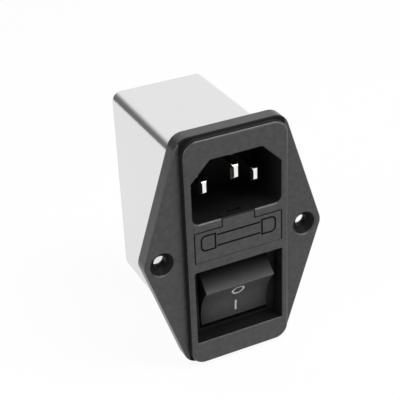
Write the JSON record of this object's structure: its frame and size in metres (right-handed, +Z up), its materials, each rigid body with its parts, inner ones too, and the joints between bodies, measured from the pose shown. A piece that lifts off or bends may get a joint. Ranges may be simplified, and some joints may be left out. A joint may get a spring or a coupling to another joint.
{
  "type": "c14 panel inlet socket",
  "caption": "Panel inlet: a C14 mains socket, a pull-out fuse drawer and a rocker switch in one black flange, with a filter in a metal can behind it.",
  "frame": {"origin": "middle of the line between the two panel screws, on the flange's back face, which seats on the panel", "axes": "+X right and +Z up as seen from the front, with the socket at the top; +Y back through the panel, along the can"},
  "size_m": [0.0496, 0.0548, 0.065],
  "materials": {
    "moulded_black": "fine spark-eroded satin black thermoplastic",
    "drawer_black": "satin black thermoplastic",
    "switch_black": "satin black thermoplastic",
    "rocker_black": "semi-gloss black thermoplastic with light marks",
    "nickel_plate": "bright nickel plate on brass",
    "fuse_glass": "clear glass tube",
    "fuse_wire": "fine fuse wire",
    "plunger_nylon": "natural nylon",
    "spring_steel": "spring steel wire",
    "contact_copper": "copper alloy, silver faced",
    "can_steel": "bright tinned sheet steel, satin",
    "insulator": "dark phenolic sheet",
    "tinned_brass": "tin plate on brass",
    "board": "epoxy glass board with solder mask",
    "ferrite": "dark grey ferrite",
    "enamelled_copper": "enamelled copper wire",
    "capacitor_box": "yellow capacitor box",
    "capacitor_disc": "blue lacquered ceramic disc",
    "resistor": "beige lacquered resistor"
  },
  "bodies": {
    "module": {"inlet_body": "moulded_black", "switch_housing": "switch_black", "line_pin": "nickel_plate", "neutral_pin": "nickel_plate", "earth_pin": "nickel_plate", "fuse_clip_left": "nickel_plate", "fuse_clip_right": "nickel_plate", "fulcrum_terminal_left": "contact_copper", "fulcrum_terminal_right": "contact_copper", "contact_terminal_left": "contact_copper", "contact_terminal_right": "contact_copper", "filter_can": "can_steel", "terminal_insulator": "insulator", "line_tab": "tinned_brass", "neutral_tab": "tinned_brass", "earth_tab": "tinned_brass", "insulator_rivets": "tinned_brass", "filter_board": "board", "choke_core": "ferrite", "choke_winding_left": "enamelled_copper", "choke_winding_right": "enamelled_copper", "x_capacitor": "capacitor_box", "y_capacitor_left": "capacitor_disc", "y_capacitor_right": "capacitor_disc", "bleed_resistor": "resistor"},
    "rocker": {"rocker": "rocker_black", "plunger_spring_left": "spring_steel", "plunger_spring_right": "spring_steel"},
    "plunger_left": {"plunger_left": "plunger_nylon"},
    "plunger_right": {"plunger_right": "plunger_nylon"},
    "contact_bridge_left": {"contact_bridge_left": "contact_copper"},
    "contact_bridge_right": {"contact_bridge_right": "contact_copper"},
    "fuse_drawer": {"fuse_drawer": "drawer_black", "fuse_glass": "fuse_glass", "fuse_cap_left": "nickel_plate", "fuse_cap_right": "nickel_plate", "fuse_wire": "fuse_wire", "spare_fuse_glass": "fuse_glass", "spare_fuse_cap_left": "nickel_plate", "spare_fuse_cap_right": "nickel_plate", "spare_fuse_wire": "fuse_wire"}
  },
  "joints": [
    {"name": "rocker_hinge", "type": "hinge", "parent": "module", "child": "rocker", "pos_m": [0, 0.0016, -0.01485], "axis": [1, 0, 0], "range_deg": [-36.4, 0]},
    {"name": "plunger_left_slide", "type": "slide", "parent": "rocker", "child": "plunger_left", "axis": [0, -0.95, -0.3123], "range_m": [0, 0.0006], "stiffness_N_per_m": 300, "springref_m": -0.003, "deforming": ["plunger_spring_left"]},
    {"name": "bridge_left_hinge", "type": "hinge", "parent": "module", "child": "contact_bridge_left", "pos_m": [-0.005, 0.00829, -0.01485], "axis": [1, 0, 0], "range_deg": [0, 16]},
    {"name": "plunger_right_slide", "type": "slide", "parent": "rocker", "child": "plunger_right", "axis": [0, -0.95, -0.3123], "range_m": [0, 0.0006], "stiffness_N_per_m": 300, "springref_m": -0.003, "deforming": ["plunger_spring_right"]},
    {"name": "bridge_right_hinge", "type": "hinge", "parent": "module", "child": "contact_bridge_right", "pos_m": [0.005, 0.00829, -0.01485], "axis": [1, 0, 0], "range_deg": [0, 16]},
    {"name": "fuse_drawer_slide", "type": "slide", "parent": "module", "child": "fuse_drawer", "axis": [0, -1, 0], "range_m": [0, 0.013]}
  ],
  "couplings": [
    {"joint": "bridge_left_hinge", "follows": "rocker_hinge", "ratio": -0.4395},
    {"joint": "bridge_right_hinge", "follows": "rocker_hinge", "ratio": -0.4395}
  ]
}
